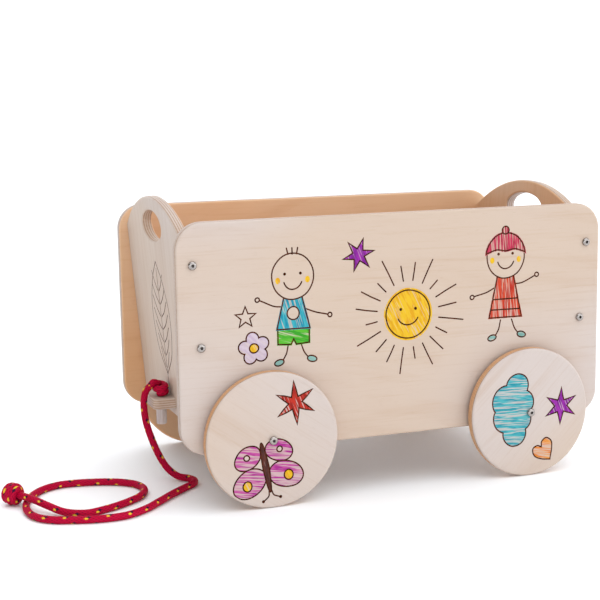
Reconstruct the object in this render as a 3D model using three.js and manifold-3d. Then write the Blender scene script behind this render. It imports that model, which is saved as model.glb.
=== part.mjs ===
// Toy-box wagon: a birch plywood box on four plywood disc wheels, pulled by a rope.
// Millimetres, +Z up, wheels on z = 0. The rope end is at -X and the left side at -Y.

import * as THREE from 'three';
import { mergeVertices } from 'three/addons/utils/BufferGeometryUtils.js';
import Module from 'manifold-3d';

const wasm = await Module();
wasm.setup();

// ---- driving dimensions ------------------------------------------------------------------

const GAP = 0.3; // clearance between pieces that touch
const ROD_SIDES = 12; // facets of a bolt, a dowel or a drilled hole
const PLY = 12; // thickness of every board
const EASE = 2.5; // rounding of the boards' edges

const SIDE = { length: 510, height: 250, bottom: 62, corner: 30 };
const BOX_WIDTH = 280; // over both side panels
const INNER_WIDTH = BOX_WIDTH - 2 * PLY;
const PANEL_FACE_Y = BOX_WIDTH / 2; // outer face of a side panel

const LEAN = THREE.MathUtils.degToRad(4.7); // the end panels' tops lean outward
const END = {
  x: 229.8, // middle of the board at pivotZ
  pivotZ: 179,
  below: 101, // board below the pivot, along its face
  above: 152.5, // board above the pivot, at the top of the dome
  domeRadius: 220,
  hole: { halfWidth: 43, halfHeight: 17.5, up: 119.4 },
};

const FLOOR = { top: 100, halfLength: 216, groove: 4, ease: 1.2 };
const TAB = { halfWidth: 22, frontX: -254, corner: 7, rearX: 227.3 };

const WHEEL = { radius: 75, x: 157, gap: 4, bore: 3.8 };

const BOLT = { shank: 2.5, head: 4.75, dome: 2.8, hex: 1.6, hexDepth: 1.5 };
const PANEL_BOLT = { length: 45, lower: 0, upper: 88, bore: 2.85 };
const BARREL = { radius: 4, length: 10, fromFace: 36, wood: 1.5 };
const AXLE_LENGTH = 31;
const SLEEVE = { outer: 3.45, inner: 2.85 };
const WASHER = { outer: 11, inner: 3.8 };
const TEE_NUT = { flange: 8, flangeThick: 1.6, barrel: 3.8, barrelLength: 9 };

const ROPE_RADIUS = 4;
const ROPE_SIDES = 8;
const ROPE_STEPS = 76;
const STOPPER = { radius: 6, length: 21, bore: 4.4, boreDepth: 14 };
const TAIL = { x: -240.5, bore: 4.6 };
const KNOT = { x: -240.8, halfX: 9, halfY: 15, height: 18.5 };
const END_KNOT = { at: [-419, -33, 12.7], radius: 13.5, height: 25 };

// The rope's centre line, from the knot on the tab to the knot at its free end.
const ROPE_ROUTE = [
  [-252.6, 0, 112.4], [-258, 0, 106.8], [-260.5, 0, 98], [-261, 0, 85],
  [-259.5, -2, 70], [-255.5, -5, 54], [-248.5, -9, 34], [-239.5, -13, 17],
  [-227.5, -17.5, 6.2], [-217.3, -22.9, 4.3], [-212.8, -33.3, 4.1], [-216.5, -45, 4.1],
  [-230, -57.5, 4.1], [-249, -75, 4.1], [-269, -96, 4.1], [-290, -117, 4.1],
  [-314, -131, 4.1], [-342, -132, 4.1], [-367, -125.5, 4.1], [-390, -115.5, 4.1],
  [-404, -100, 4.1], [-409.5, -78, 4.1], [-408, -53, 4.1], [-398, -23, 4.1],
  [-381, -1, 4.1], [-361, 9.5, 4.1], [-338, 9, 4.1], [-315, 3, 4.1],
  [-294, -7, 4.1], [-279, -23, 4.1], [-274.5, -45, 4.1], [-284, -68, 4.1],
  [-304, -86, 4.1], [-328, -100, 4.1], [-353, -107, 4.1], [-374, -97, 5.2],
  [-389, -82, 9.6], [-400, -66, 12.4], [-410.8, -44.2, 12.7],
];

// ---- materials ---------------------------------------------------------------------------

const material = (color, roughness, metalness = 0) =>
  new THREE.MeshStandardMaterial({ color, roughness, metalness });

const birch = material(0xdec6a8, 0.6);
const paleDowel = material(0xe4d5c0, 0.65);
const chrome = material(0xc9ccd1, 0.18, 1);
const zinc = material(0xa9adb3, 0.4, 1);
const nylon = material(0xe9e6df, 0.45);
const ropeRed = material(0xb01240, 0.85);

// ---- geometry helpers --------------------------------------------------------------------

function toSolid(geometry) {
  const bare = geometry.clone();
  bare.deleteAttribute('normal');
  bare.deleteAttribute('uv');
  const merged = mergeVertices(bare, 1e-4);
  return new wasm.Manifold(new wasm.Mesh({
    numProp: 3,
    vertProperties: new Float32Array(merged.attributes.position.array),
    triVerts: new Uint32Array(merged.index.array),
  }));
}

function toGeometry(solid) {
  const mesh = solid.getMesh();
  const geometry = new THREE.BufferGeometry();
  geometry.setAttribute('position', new THREE.BufferAttribute(mesh.vertProperties, 3));
  geometry.setIndex(new THREE.BufferAttribute(mesh.triVerts, 1));
  return geometry;
}

function cut(geometry, ...cutters) {
  const solid = cutters.reduce((rest, c) => rest.subtract(toSolid(c)), toSolid(geometry));
  return toGeometry(solid);
}

function join(a, b) {
  return toGeometry(toSolid(a).add(toSolid(b)));
}

// A board of the given outline, with eased edges, centred on its own thickness.
function board(outline, curveSegments, ease = EASE) {
  return new THREE.ExtrudeGeometry(outline, {
    depth: PLY - 2 * ease,
    bevelThickness: ease,
    bevelSize: ease,
    bevelOffset: -ease,
    bevelSegments: 2,
    curveSegments,
  }).translate(0, 0, ease - PLY / 2);
}

// A rod along Y with its middle at the given point.
function rodAlongY(radius, length, x, y, z) {
  return new THREE.CylinderGeometry(radius, radius, length, ROD_SIDES).translate(x, y, z);
}

// A rod along Z with its middle at the given point.
function rodAlongZ(radius, length, x, y, z, sides = ROD_SIDES) {
  return new THREE.CylinderGeometry(radius, radius, length, sides)
    .rotateX(Math.PI / 2)
    .translate(x, y, z);
}

// A turned piece: [radius, along] points that close on themselves, turned about Y.
function turned(points, sides) {
  const profile = points.map(([radius, along]) => new THREE.Vector2(radius, along));
  return new THREE.LatheGeometry([...profile, profile[0]], sides);
}

// ---- boards ------------------------------------------------------------------------------

// Where the middle plane of an end panel stands at a height on the box.
const endPlaneX = (z) => END.x + (z - END.pivotZ) * Math.tan(LEAN);

// Places of the bolts through one side panel.
const PANEL_BOLT_PLACES = [['front', -1], ['rear', 1]].flatMap(([end, sign]) =>
  [['lower', PANEL_BOLT.lower], ['upper', PANEL_BOLT.upper]].map(([level, up]) => {
    const z = END.pivotZ + up;
    return { end, level, sign, up, x: sign * endPlaneX(z), z };
  }));

function roundedRectangle(halfLength, bottom, top, radius) {
  const shape = new THREE.Shape();
  shape.absarc(halfLength - radius, bottom + radius, radius, -Math.PI / 2, 0);
  shape.absarc(halfLength - radius, top - radius, radius, 0, Math.PI / 2);
  shape.absarc(radius - halfLength, top - radius, radius, Math.PI / 2, Math.PI);
  shape.absarc(radius - halfLength, bottom + radius, radius, Math.PI, 1.5 * Math.PI);
  return shape;
}

// A side panel with its bolt holes, axle holes and the groove that holds the floor.
function sidePanel(sign) {
  const middleY = sign * (BOX_WIDTH - PLY) / 2;
  const outline = roundedRectangle(
    SIDE.length / 2, SIDE.bottom, SIDE.bottom + SIDE.height, SIDE.corner);
  const panel = board(outline, 3).rotateX(Math.PI / 2).translate(0, middleY, 0);
  const boltHoles = PANEL_BOLT_PLACES.map(({ x, z }) =>
    rodAlongY(PANEL_BOLT.bore, 2 * PLY, x, middleY, z));
  const axleHoles = [-1, 1].map((end) =>
    rodAlongY(TEE_NUT.barrel + GAP, 2 * PLY, end * WHEEL.x, middleY, WHEEL.radius));
  const innerFaceY = sign * INNER_WIDTH / 2;
  const groove = new THREE.BoxGeometry(
    2 * (FLOOR.halfLength + GAP), 2 * FLOOR.groove, PLY + 2 * GAP)
    .translate(0, innerFaceY, FLOOR.top - PLY / 2);
  return cut(panel, ...boltHoles, ...axleHoles, groove);
}

// An end panel lying in the XY plane: X across the box, Y up along the face.
function endPanelBlank() {
  const half = INNER_WIDTH / 2 - GAP;
  const centreY = END.above - END.domeRadius;
  const reach = Math.asin(half / END.domeRadius);
  const outline = new THREE.Shape();
  outline.moveTo(-half, -END.below);
  outline.lineTo(half, -END.below);
  outline.absarc(0, centreY, END.domeRadius, Math.PI / 2 - reach, Math.PI / 2 + reach);
  const hole = new THREE.Path();
  hole.absellipse(0, END.hole.up, END.hole.halfWidth, END.hole.halfHeight, 0, 2 * Math.PI);
  outline.holes.push(hole);
  return board(outline, 14);
}

// Stands a piece drawn flat in an end panel's plane up in its place at one end of the box.
function standAtEnd(geometry, sign) {
  return geometry
    .rotateX(Math.PI / 2)
    .rotateZ(sign * Math.PI / 2)
    .rotateY(sign * LEAN)
    .translate(sign * END.x, 0, END.pivotZ);
}

// The slot that the floor's tab passes through.
function tabSlot(sign) {
  return new THREE.BoxGeometry(4 * PLY, 2 * (TAB.halfWidth + GAP), PLY + 2 * GAP)
    .translate(sign * endPlaneX(FLOOR.top), 0, FLOOR.top - PLY / 2);
}

function endPanel(sign) {
  const boltDepth = PANEL_BOLT.length - PLY + 4;
  const holes = PANEL_BOLT_PLACES.filter((place) => place.sign === sign).flatMap((place) =>
    [-1, 1].flatMap((side) => [
      rodAlongY(PANEL_BOLT.bore, 2 * boltDepth, place.x, side * INNER_WIDTH / 2, place.z),
      barrelRod(place, side, BARREL.radius + GAP, -PLY, PLY / 2 - BARREL.wood),
    ]));
  return cut(standAtEnd(endPanelBlank(), sign), tabSlot(sign), ...holes);
}

// The floor: a board between the grooves, with a tab through each end panel.
function floorPanel() {
  const half = INNER_WIDTH / 2 + FLOOR.groove - GAP;
  const { halfWidth, frontX, rearX, corner } = TAB;
  const outline = new THREE.Shape();
  outline.moveTo(-FLOOR.halfLength, -half);
  outline.lineTo(FLOOR.halfLength, -half);
  outline.lineTo(FLOOR.halfLength, -halfWidth);
  outline.lineTo(rearX, -halfWidth);
  outline.lineTo(rearX, halfWidth);
  outline.lineTo(FLOOR.halfLength, halfWidth);
  outline.lineTo(FLOOR.halfLength, half);
  outline.lineTo(-FLOOR.halfLength, half);
  outline.lineTo(-FLOOR.halfLength, halfWidth);
  outline.absarc(frontX + corner, halfWidth - corner, corner, Math.PI / 2, Math.PI);
  outline.absarc(frontX + corner, corner - halfWidth, corner, Math.PI, 1.5 * Math.PI);
  outline.lineTo(-FLOOR.halfLength, -halfWidth);
  const flat = board(outline, 2, FLOOR.ease).translate(0, 0, FLOOR.top - PLY / 2);
  return cut(flat, rodAlongZ(TAIL.bore, 2 * PLY, TAIL.x, 0, FLOOR.top - PLY / 2));
}

// ---- wheels and axles --------------------------------------------------------------------

// Wheel, sleeve, washer, bolt and nut are drawn on the Y axis, from the side panel's outer
// face at y = 0 towards +Y, and then stand at one corner of the wagon.
function atAxle(geometry, end, side) {
  if (side < 0) geometry.rotateZ(Math.PI);
  return geometry.translate(end * WHEEL.x, side * PANEL_FACE_Y, WHEEL.radius);
}

function wheel() {
  const { radius, bore, gap } = WHEEL;
  const corner = (along, towards) => [
    [radius - EASE, along],
    [radius - 0.3 * EASE, along + 0.3 * EASE * towards],
    [radius, along + EASE * towards],
  ];
  return turned([
    [bore, gap],
    ...corner(gap, 1),
    ...corner(gap + PLY, -1).reverse(),
    [bore, gap + PLY],
  ], 48);
}

function axleSleeve() {
  const length = WHEEL.gap + PLY + 0.6;
  return turned([
    [SLEEVE.inner, GAP], [SLEEVE.outer, GAP],
    [SLEEVE.outer, length], [SLEEVE.inner, length],
  ], ROD_SIDES);
}

function spacerWasher() {
  return turned([
    [WASHER.inner, GAP], [WASHER.outer, GAP],
    [WASHER.outer, WHEEL.gap - 0.6], [WASHER.inner, WHEEL.gap - 0.6],
  ], 16);
}

// A button-head bolt: the underside of its head is at y = 0 and its shank runs to -length.
function buttonBolt(length) {
  const { shank, head, dome, hex, hexDepth } = BOLT;
  const profile = [
    [0, -length], [shank - 0.4, -length], [shank, 0.5 - length], [shank, 0],
    [head, 0], [head, 0.25 * dome], [0.82 * head, 0.7 * dome],
    [0.45 * head, dome], [0, dome],
  ].map(([radius, along]) => new THREE.Vector2(radius, along));
  const body = new THREE.LatheGeometry(profile, ROD_SIDES);
  const socket = new THREE.CylinderGeometry(hex, hex, 2 * hexDepth, 6).translate(0, dome, 0);
  return cut(body, socket);
}

function axleBolt() {
  return buttonBolt(AXLE_LENGTH).translate(0, WHEEL.gap + PLY + 0.9, 0);
}

// The nut pressed into the panel from the inside: a flange on the inner face and a barrel.
function teeNut() {
  const { flange, flangeThick, barrel, barrelLength } = TEE_NUT;
  const bore = BOLT.shank + GAP;
  const face = -PLY - GAP;
  return turned([
    [bore, face - flangeThick], [flange, face - flangeThick], [flange, face],
    [barrel, face], [barrel, face + barrelLength], [bore, face + barrelLength],
  ], ROD_SIDES);
}

// ---- panel bolts and barrel nuts ---------------------------------------------------------

function panelBolt({ x, z }, side) {
  const bolt = buttonBolt(PANEL_BOLT.length);
  if (side < 0) bolt.rotateZ(Math.PI);
  return bolt.translate(x, side * (PANEL_FACE_Y + GAP), z);
}

// A rod through a panel bolt's line, across the end panel's thickness: its ends are given
// as distances from the board's middle, towards the outside of the box.
function barrelRod({ sign, up }, side, radius, innerEnd, outerEnd) {
  const across = sign * side * (PANEL_FACE_Y - BARREL.fromFace);
  const along = up / Math.cos(LEAN);
  const middle = (innerEnd + outerEnd) / 2;
  return standAtEnd(rodAlongZ(radius, outerEnd - innerEnd, across, along, middle), sign);
}

function barrelNut(place, side) {
  const outerEnd = PLY / 2 - BARREL.wood - GAP;
  const body = barrelRod(place, side, BARREL.radius, outerEnd - BARREL.length, outerEnd);
  const threadY = side * (PANEL_FACE_Y - BARREL.fromFace);
  return cut(body, rodAlongY(BOLT.shank + GAP, 4 * BARREL.radius, place.x, threadY, place.z));
}

// ---- rope --------------------------------------------------------------------------------

// The knot on the tab, with the rope's tail going down through the tab's hole.
function towKnot() {
  const { x, halfX, halfY, height } = KNOT;
  const ball = new THREE.SphereGeometry(1, 14, 8)
    .scale(halfX, halfY, height / 2)
    .translate(x, 0, FLOOR.top + GAP + height / 2);
  const tailLength = PLY + STOPPER.boreDepth + height / 2;
  const tailTop = FLOOR.top + GAP + height / 2;
  const tail = rodAlongZ(ROPE_RADIUS, tailLength, TAIL.x, 0, tailTop - tailLength / 2);
  return join(ball, tail);
}

// A dowel sleeve glued on the tail under the tab.
function ropeStopper() {
  const top = FLOOR.top - PLY - GAP;
  const body = rodAlongZ(STOPPER.radius, STOPPER.length, TAIL.x, 0, top - STOPPER.length / 2, 16);
  return cut(body, rodAlongZ(STOPPER.bore, 2 * STOPPER.boreDepth, TAIL.x, 0, top));
}

function ropeTube() {
  const route = new THREE.CatmullRomCurve3(
    ROPE_ROUTE.map((point) => new THREE.Vector3(...point)), false, 'centripetal');
  const section = new THREE.Shape();
  for (let i = 0; i < ROPE_SIDES; i += 1) {
    const angle = (2 * Math.PI * i) / ROPE_SIDES;
    const at = [ROPE_RADIUS * Math.cos(angle), ROPE_RADIUS * Math.sin(angle)];
    if (i === 0) section.moveTo(...at);
    else section.lineTo(...at);
  }
  section.closePath();
  return new THREE.ExtrudeGeometry(section, { steps: ROPE_STEPS, extrudePath: route });
}

function ropeEndKnot() {
  return new THREE.SphereGeometry(1, 16, 10)
    .scale(END_KNOT.radius, END_KNOT.radius, END_KNOT.height / 2)
    .translate(...END_KNOT.at);
}

// ---- assembly ----------------------------------------------------------------------------

const wagon = new THREE.Group();

function add(name, geometry, itsMaterial) {
  const mesh = new THREE.Mesh(geometry, itsMaterial);
  mesh.name = name;
  wagon.add(mesh);
}

const SIDES = [['left', -1], ['right', 1]];
const ENDS = [['front', -1], ['rear', 1]];

for (const [sideName, side] of SIDES) add(`side_panel_${sideName}`, sidePanel(side), birch);
for (const [endName, end] of ENDS) add(`end_panel_${endName}`, endPanel(end), birch);
add('floor_panel', floorPanel(), birch);

for (const [endName, end] of ENDS) {
  for (const [sideName, side] of SIDES) {
    const corner = `${endName}_${sideName}`;
    add(`wheel_${corner}`, atAxle(wheel(), end, side), birch);
    add(`axle_sleeve_${corner}`, atAxle(axleSleeve(), end, side), nylon);
    add(`spacer_washer_${corner}`, atAxle(spacerWasher(), end, side), nylon);
    add(`axle_bolt_${corner}`, atAxle(axleBolt(), end, side), chrome);
    add(`tee_nut_${corner}`, atAxle(teeNut(), end, side), zinc);
  }
}

for (const place of PANEL_BOLT_PLACES) {
  for (const [sideName, side] of SIDES) {
    const spot = `${place.end}_${sideName}_${place.level}`;
    add(`panel_bolt_${spot}`, panelBolt(place, side), chrome);
    add(`barrel_nut_${spot}`, barrelNut(place, side), zinc);
  }
}

add('tow_knot', towKnot(), ropeRed);
add('rope_stopper', ropeStopper(), paleDowel);
add('tow_rope', ropeTube(), ropeRed);
add('rope_end_knot', ropeEndKnot(), ropeRed);

export default wagon;
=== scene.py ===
# Looks of the toy-box wagon: birch plywood boards with crayon drawings, disc wheels and a
# braided pull rope. Sizes are in millimetres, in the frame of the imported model, and turn
# into metres where a mesh is made.

from math import asin, atan2, cos, degrees, floor, pi, radians, sin, sqrt

import bpy
import numpy as np
from mathutils import Matrix, Vector, noise
from mathutils.geometry import delaunay_2d_cdt


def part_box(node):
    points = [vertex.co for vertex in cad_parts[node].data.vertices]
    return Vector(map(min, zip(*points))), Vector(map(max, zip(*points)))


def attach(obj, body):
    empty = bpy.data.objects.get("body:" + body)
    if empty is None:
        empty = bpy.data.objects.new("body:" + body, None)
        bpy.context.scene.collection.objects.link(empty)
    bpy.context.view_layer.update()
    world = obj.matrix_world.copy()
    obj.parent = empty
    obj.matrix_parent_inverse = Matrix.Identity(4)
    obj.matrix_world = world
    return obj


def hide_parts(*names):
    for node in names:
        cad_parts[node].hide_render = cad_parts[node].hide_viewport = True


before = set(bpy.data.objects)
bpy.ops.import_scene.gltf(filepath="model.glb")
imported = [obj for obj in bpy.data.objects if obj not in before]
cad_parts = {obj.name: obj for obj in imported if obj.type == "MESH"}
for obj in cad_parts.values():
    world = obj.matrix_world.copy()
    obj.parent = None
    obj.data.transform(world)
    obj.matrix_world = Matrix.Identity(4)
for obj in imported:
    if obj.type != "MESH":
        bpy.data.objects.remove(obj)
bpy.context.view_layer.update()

MM = 0.001
SIDES = {"left": -1, "right": 1}
ENDS = {"front": -1, "rear": 1}

# ---- driving dimensions ----

PLY = 12.0
EASE = 2.5
VENEER = PLY / 9
SIDE_CORNER = 30.0
LEAN = radians(4.7)
END_PANEL = {"width": 255.4, "low": -101.0, "top": 152.5, "dome": 220.0}
HAND_HOLE = {"half_width": 43.0, "half_height": 17.5, "up": 119.4}
FLOOR = {"half": 216.0, "half_width": 131.7, "ease": 1.2, "groove": 4.0}
TAB = {"half_width": 22.0, "front": -254.0, "rear": 227.3, "corner": 7.0}
TAB_SLOT = {"half_width": 22.3, "half_height": 6.8}
BOLT_LEVELS = {"lower": 0.0, "upper": 88.0}
BOLT = {
    "shank": 2.5, "head": 4.75, "rim": 0.7, "dome": 2.8, "flat": 2.3, "socket": 1.6,
    "socket_depth": 1.7}
BARREL_NUT = {"radius": 4.0, "length": 10.0, "across": 104.0, "depth": 10.6}
SLEEVE = {"bore": 2.85, "radius": 3.45, "length": 16.6}
WASHER = {"bore": 3.8, "radius": 11.0, "thick": 3.4}
TEE_NUT = {"bore": 2.8, "flange": 8.0, "barrel": 3.8, "back": 13.9, "seat": 12.3, "end": 3.3}
STOPPER = {"radius": 6.0, "bore": 4.4, "bore_depth": 14.0}
BORE = {"panel_bolt": 2.85, "tee_nut": 4.1, "wheel": 3.8, "tail": 4.6, "barrel_nut": 4.3}
END_KNOT = {"turns": 3.0, "half_length": 8.2, "radius": 8.4}
TOW_KNOT = {"half_length": 5.4, "half_width": 9.5, "up": 4.6, "climb": 7.5}
GAP = 0.3
ROPE = 4.0
INK = 1.6

# How much brighter than white paper the lit side is, for red, green and blue.
STUDIO_LIGHT = (1.40, 1.44, 1.50)
CAMERA = {
    "at": (-0.6003, -1.4660, 0.4397), "turn": -19.99, "down": 8.74, "roll": -0.957,
    "sensor": 36.0, "lens": 79.42}

# The rope hangs from its knot, lies on the ground and crosses over itself at its end.
HANGING = [
    (-252.6, 0, 112.4), (-258, 0, 106.8), (-260.5, 0, 98), (-261, 0, 85),
    (-259.5, -2, 70), (-255.5, -5, 54), (-248.5, -9, 34), (-239.5, -13, 17),
    (-227.5, -17.5, 6.2), (-217.3, -22.9, 4.3),
]
LYING = [
    (-212.8, -33.3), (-216.5, -45), (-230, -57.5), (-249, -75), (-269, -96), (-290, -117),
    (-314, -131), (-342, -132), (-367, -125.5), (-390, -115.5), (-404, -100), (-409.5, -78),
    (-408, -53), (-398, -23), (-381, -1), (-361, 9.5), (-338, 9), (-315, 3),
    (-294, -7), (-279, -23), (-274.5, -45), (-284, -68), (-304, -86), (-328, -100),
    (-353, -107),
]
CROSSING = [(-374, -97, 5.2), (-389, -82, 9.6), (-400, -66, 12.4), (-410.8, -44.2, 12.7)]
ROPE_ROUTE = HANGING + [(x, y, ROPE + 0.1) for x, y in LYING] + CROSSING

# ---- placing and camera ----


def add_object(name, data):
    made = bpy.data.objects.new(name, data)
    bpy.context.scene.collection.objects.link(made)
    return made


def turn_by(angle, axis="Z"):
    """A turn about an axis, its angle in degrees."""
    return Matrix.Rotation(radians(angle), 4, axis)


def add_camera():
    """A camera off the left side, nearer the rope end and a little higher than the box."""
    data = bpy.data.cameras.new("camera")
    data.sensor_width = CAMERA["sensor"]
    data.lens = CAMERA["lens"]
    camera = add_object("camera", data)
    camera.matrix_world = (
        Matrix.Translation(CAMERA["at"]) @ turn_by(CAMERA["turn"])
        @ turn_by(90 - CAMERA["down"], "X") @ turn_by(CAMERA["roll"]))
    bpy.context.scene.camera = camera


# ---- shader helpers ----


def new_material(name):
    """A material with only its shader and output: (material, node tree, shader)."""
    made = bpy.data.materials.new(name)
    made.use_nodes = True
    return made, made.node_tree, made.node_tree.nodes["Principled BSDF"]


def add(tree, kind, inputs, **settings):
    """A node of that kind. An input takes a number, a colour or another node's socket."""
    made = tree.nodes.new("ShaderNode" + kind)
    for key, value in settings.items():
        setattr(made, key, value)
    for key, value in inputs.items():
        if isinstance(value, bpy.types.NodeSocket):
            tree.links.new(value, made.inputs[key])
        else:
            made.inputs[key].default_value = value
    return made


def attribute(tree, name):
    return add(tree, "Attribute", {}, attribute_name=name).outputs["Vector"]


def own_place(tree):
    return add(tree, "TexCoord", {}).outputs["Object"]


def stretched_noise(tree, where, scale, detail=3.0, distortion=0.0, angle=0.0):
    """Noise whose grain size differs along each axis: scale is in grains per metre."""
    turned = add(tree, "VectorRotate", {"Vector": where, "Angle": angle}, rotation_type="Z_AXIS")
    spread = add(
        tree, "VectorMath", {0: turned.outputs[0], 1: scale}, operation="MULTIPLY")
    made = add(tree, "TexNoise", {
        "Vector": spread.outputs[0], "Scale": 1.0, "Detail": detail,
        "Distortion": distortion})
    return made.outputs["Fac"]


def ramp(tree, value, low, high, from_value=0.0, to_value=1.0):
    """The value's stretch between low and high, spread smoothly between two others."""
    made = add(tree, "MapRange", {
        "Value": value, "From Min": low, "From Max": high,
        "To Min": from_value, "To Max": to_value}, interpolation_type="SMOOTHSTEP")
    return made.outputs["Result"]


def math_node(tree, operation, first, second=0.0):
    return add(tree, "Math", {0: first, 1: second}, operation=operation).outputs[0]


def mix(tree, factor, first, second, mode="MIX"):
    """Two colours mixed: a colour is a socket or its (red, green, blue)."""
    made = add(tree, "Mix", {0: factor}, data_type="RGBA", blend_type=mode)
    for slot, colour in ((6, first), (7, second)):
        if isinstance(colour, bpy.types.NodeSocket):
            tree.links.new(colour, made.inputs[slot])
        else:
            made.inputs[slot].default_value = (*colour, 1.0)
    return made.outputs[2]


def bump(tree, shader, height, depth):
    """Relief of that depth, in millimetres, from a height of 0 to 1."""
    made = add(tree, "Bump", {"Height": height, "Distance": depth * MM})
    tree.links.new(made.outputs["Normal"], shader.inputs["Normal"])


def surface(tree, shader, colour, rough, specular=0.5):
    """Gives the shader its colour and roughness, which are sockets, and its specular level."""
    tree.links.new(colour, shader.inputs["Base Color"])
    tree.links.new(rough, shader.inputs["Roughness"])
    shader.inputs["Specular IOR Level"].default_value = specular


def screen_colour(red, green, blue):
    """Shader values of a colour that shows as that one, 0 to 255, in the studio's light."""
    shares = (red / 255, green / 255, blue / 255)
    return tuple(
        (c / 12.92 if c <= 0.04045 else ((c + 0.055) / 1.055) ** 2.4) / light
        for c, light in zip(shares, STUDIO_LIGHT))


# ---- wood and drawing materials ----
# Grain sizes are in grains per metre: along the grain, across it and through the board.

CLOUDS = (2.2, 3.4, 3.4)
FLAME = (5.0, 30.0, 30.0)
GRAIN = (14.0, 380.0, 380.0)
PORES = (110.0, 1500.0, 1500.0)
SPECKS = (500.0, 500.0, 700.0)
PALE_BIRCH = screen_colour(223, 211, 207)
WARM_BIRCH = screen_colour(223, 202, 185)
GRAIN_BROWN = screen_colour(196, 156, 122)
CROSS_VENEER = screen_colour(160, 112, 72)
# Painted shade: the back tint makes the boards' back faces darker and warmer than their fronts.
# These faces look into the box, or, on a wheel, toward its panel. The tint is partly a warmer
# back veneer and partly painted shade and warm bounce light.
BACK_SHADE_TINT = (1.28, 0.94, 0.61)
# Painted light: the rim tint turns the wheels' rims a warm orange tan. It stands for the warm
# bounce light and shade in the gap at the side panel.
RIM_BOUNCE_LIGHT_TINT = (1.40, 0.94, 0.55)
NO_TINT = (1.0, 1.0, 1.0)


def birch_pattern(tree, tint=BACK_SHADE_TINT, tint_from=-4.5, tint_to=-5.5):
    """Birch plywood by the board's own coordinates, with its grain along the first of them
    and its veneers across the third: (colour, height, grain). The tint comes in between two
    depths, in millimetres in front of the board's middle. On the back face it is a warmer back
    veneer with painted shade and warm bounce light. On a wheel's rim it is painted warm
    bounce light and shade."""
    where = attribute(tree, "board")
    clouds = stretched_noise(tree, where, CLOUDS, 1.0, 0.3)
    flame = stretched_noise(tree, where, FLAME, 4.0, 1.2, 0.1)
    grain = stretched_noise(tree, where, GRAIN, 4.0, 0.4)
    pores = stretched_noise(tree, where, PORES, 1.0)
    face = mix(tree, ramp(tree, clouds, 0.36, 0.64), PALE_BIRCH, WARM_BIRCH)
    face = mix(tree, ramp(tree, flame, 0.48, 0.74, 0.0, 0.17), face, GRAIN_BROWN)
    face = mix(tree, ramp(tree, grain, 0.50, 0.80, 0.0, 0.20), face, GRAIN_BROWN)
    face = mix(tree, ramp(tree, pores, 0.66, 0.76, 0.0, 0.16), face, CROSS_VENEER)
    depth = add(tree, "SeparateXYZ", {0: where}).outputs["Z"]
    # Behind the given depth the colour is multiplied by the tint: painted shade and warm bounce
    # light.
    tinted = ramp(tree, depth, tint_to * MM, tint_from * MM, 1.0, 0.0)
    face = mix(tree, tinted, face, tint, "MULTIPLY")
    layer = math_node(tree, "ABSOLUTE", math_node(tree, "SINE", math_node(
        tree, "MULTIPLY", depth, pi / (2 * VENEER * MM))))
    in_middle = ramp(tree, math_node(tree, "ABSOLUTE", depth),
                     (PLY / 2 - 0.9 * VENEER) * MM, (PLY / 2 - 0.75 * VENEER) * MM, 1.0, 0.0)
    specks = stretched_noise(tree, where, SPECKS, 2.0)
    cross = mix(tree, ramp(tree, specks, 0.4, 0.7), CROSS_VENEER, GRAIN_BROWN)
    dark = math_node(tree, "MULTIPLY", ramp(tree, layer, 0.62, 0.80, 0.0, 0.62), in_middle)
    colour = mix(tree, dark, face, cross)
    height = math_node(tree, "SUBTRACT", grain, ramp(tree, pores, 0.60, 0.78, 0.0, 0.6))
    return colour, height, grain


def birch_material(name, *tint):
    made, tree, shader = new_material(name)
    colour, height, grain = birch_pattern(tree, *tint)
    surface(tree, shader, colour, ramp(tree, grain, 0.3, 0.7, 0.42, 0.56), 0.35)
    bump(tree, shader, height, 0.05)
    return made


def crayon_material(name, colour, deep, angle, gaps, stroke=1.5):
    """Wax crayon over birch: strokes of two tones at an angle, with bare wood in the gaps."""
    made, tree, shader = new_material(name)
    wood, height, _ = birch_pattern(tree)
    where = attribute(tree, "drawing")
    per_metre = 1 / (stroke * MM)
    strokes = stretched_noise(tree, where, (0.045 * per_metre, per_metre, 40.0), 2.0, 0.3, angle)
    build_up = stretched_noise(tree, where, (60.0, 260.0, 40.0), 3.0, 0.5, angle + 0.1)
    wax = mix(tree, ramp(tree, build_up, 0.40, 0.62), colour, deep)
    cover = ramp(tree, strokes, 0.30 + 0.26 * gaps, 0.40 + 0.26 * gaps, 0.25, 1.0)
    rough = ramp(tree, strokes, 0.3, 0.7, 0.42, 0.62)
    surface(tree, shader, mix(tree, cover, wood, wax), rough, 0.2)
    bump(tree, shader, math_node(tree, "ADD", height, strokes), 0.06)
    return made


def mottled_material(
        name, colours, grains, detail, tones, gloss, settings, where="Object", relief=0.0):
    """One colour turns into another as a noise rises between two tones, and the roughness
    goes from one value to another with it. Settings are of the shader's own sockets."""
    made, tree, shader = new_material(name)
    place = own_place(tree) if where == "Object" else attribute(tree, where)
    mottle = stretched_noise(tree, place, grains, detail)
    colour = mix(tree, ramp(tree, mottle, *tones), *colours)
    surface(tree, shader, colour, ramp(tree, mottle, 0.3, 0.7, *gloss))
    for socket, value in settings.items():
        shader.inputs[socket].default_value = value
    if relief:
        bump(tree, shader, mottle, relief)
    return made


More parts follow.
